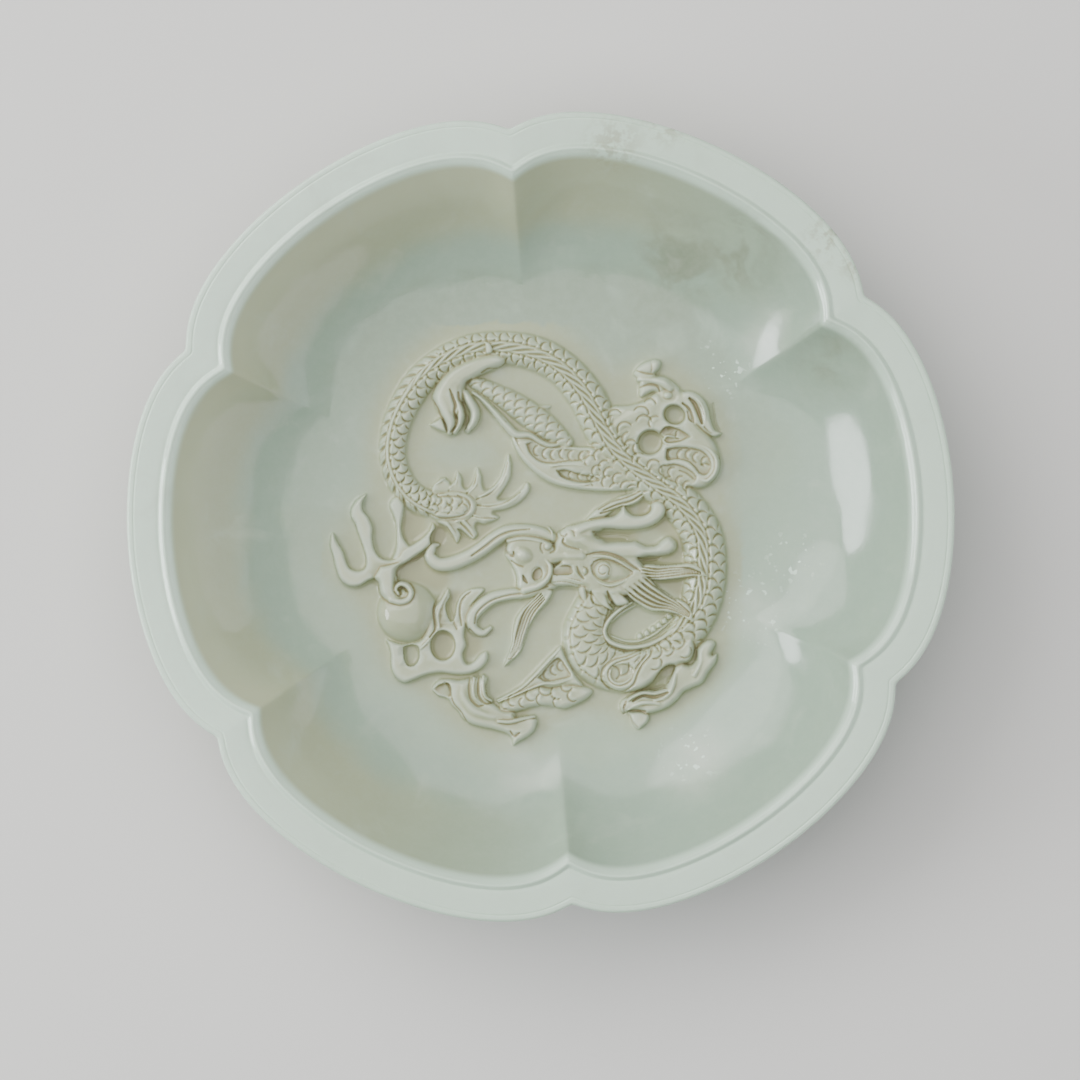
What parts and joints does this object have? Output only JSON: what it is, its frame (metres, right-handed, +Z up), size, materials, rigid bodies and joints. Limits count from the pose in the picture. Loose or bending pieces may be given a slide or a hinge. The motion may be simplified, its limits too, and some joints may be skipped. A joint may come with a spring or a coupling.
{
  "type": "jade saucer",
  "caption": "Shallow lobed jade dish on a low foot ring, with a dragon and a flaming pearl carved in high relief on its floor.",
  "frame": {"origin": "middle of the foot ring's underside, on the level that the saucer rests on", "axes": "+Z up out of the hollow, +X to the right of the picture, +Y to its top"},
  "size_m": [0.1822, 0.1784, 0.0301],
  "materials": {
    "jade": "soft waxy polish, slightly translucent pale grey-green with warmer and browner clouds"
  },
  "bodies": {
    "root": {"saucer": "jade"}
  },
  "joints": []
}
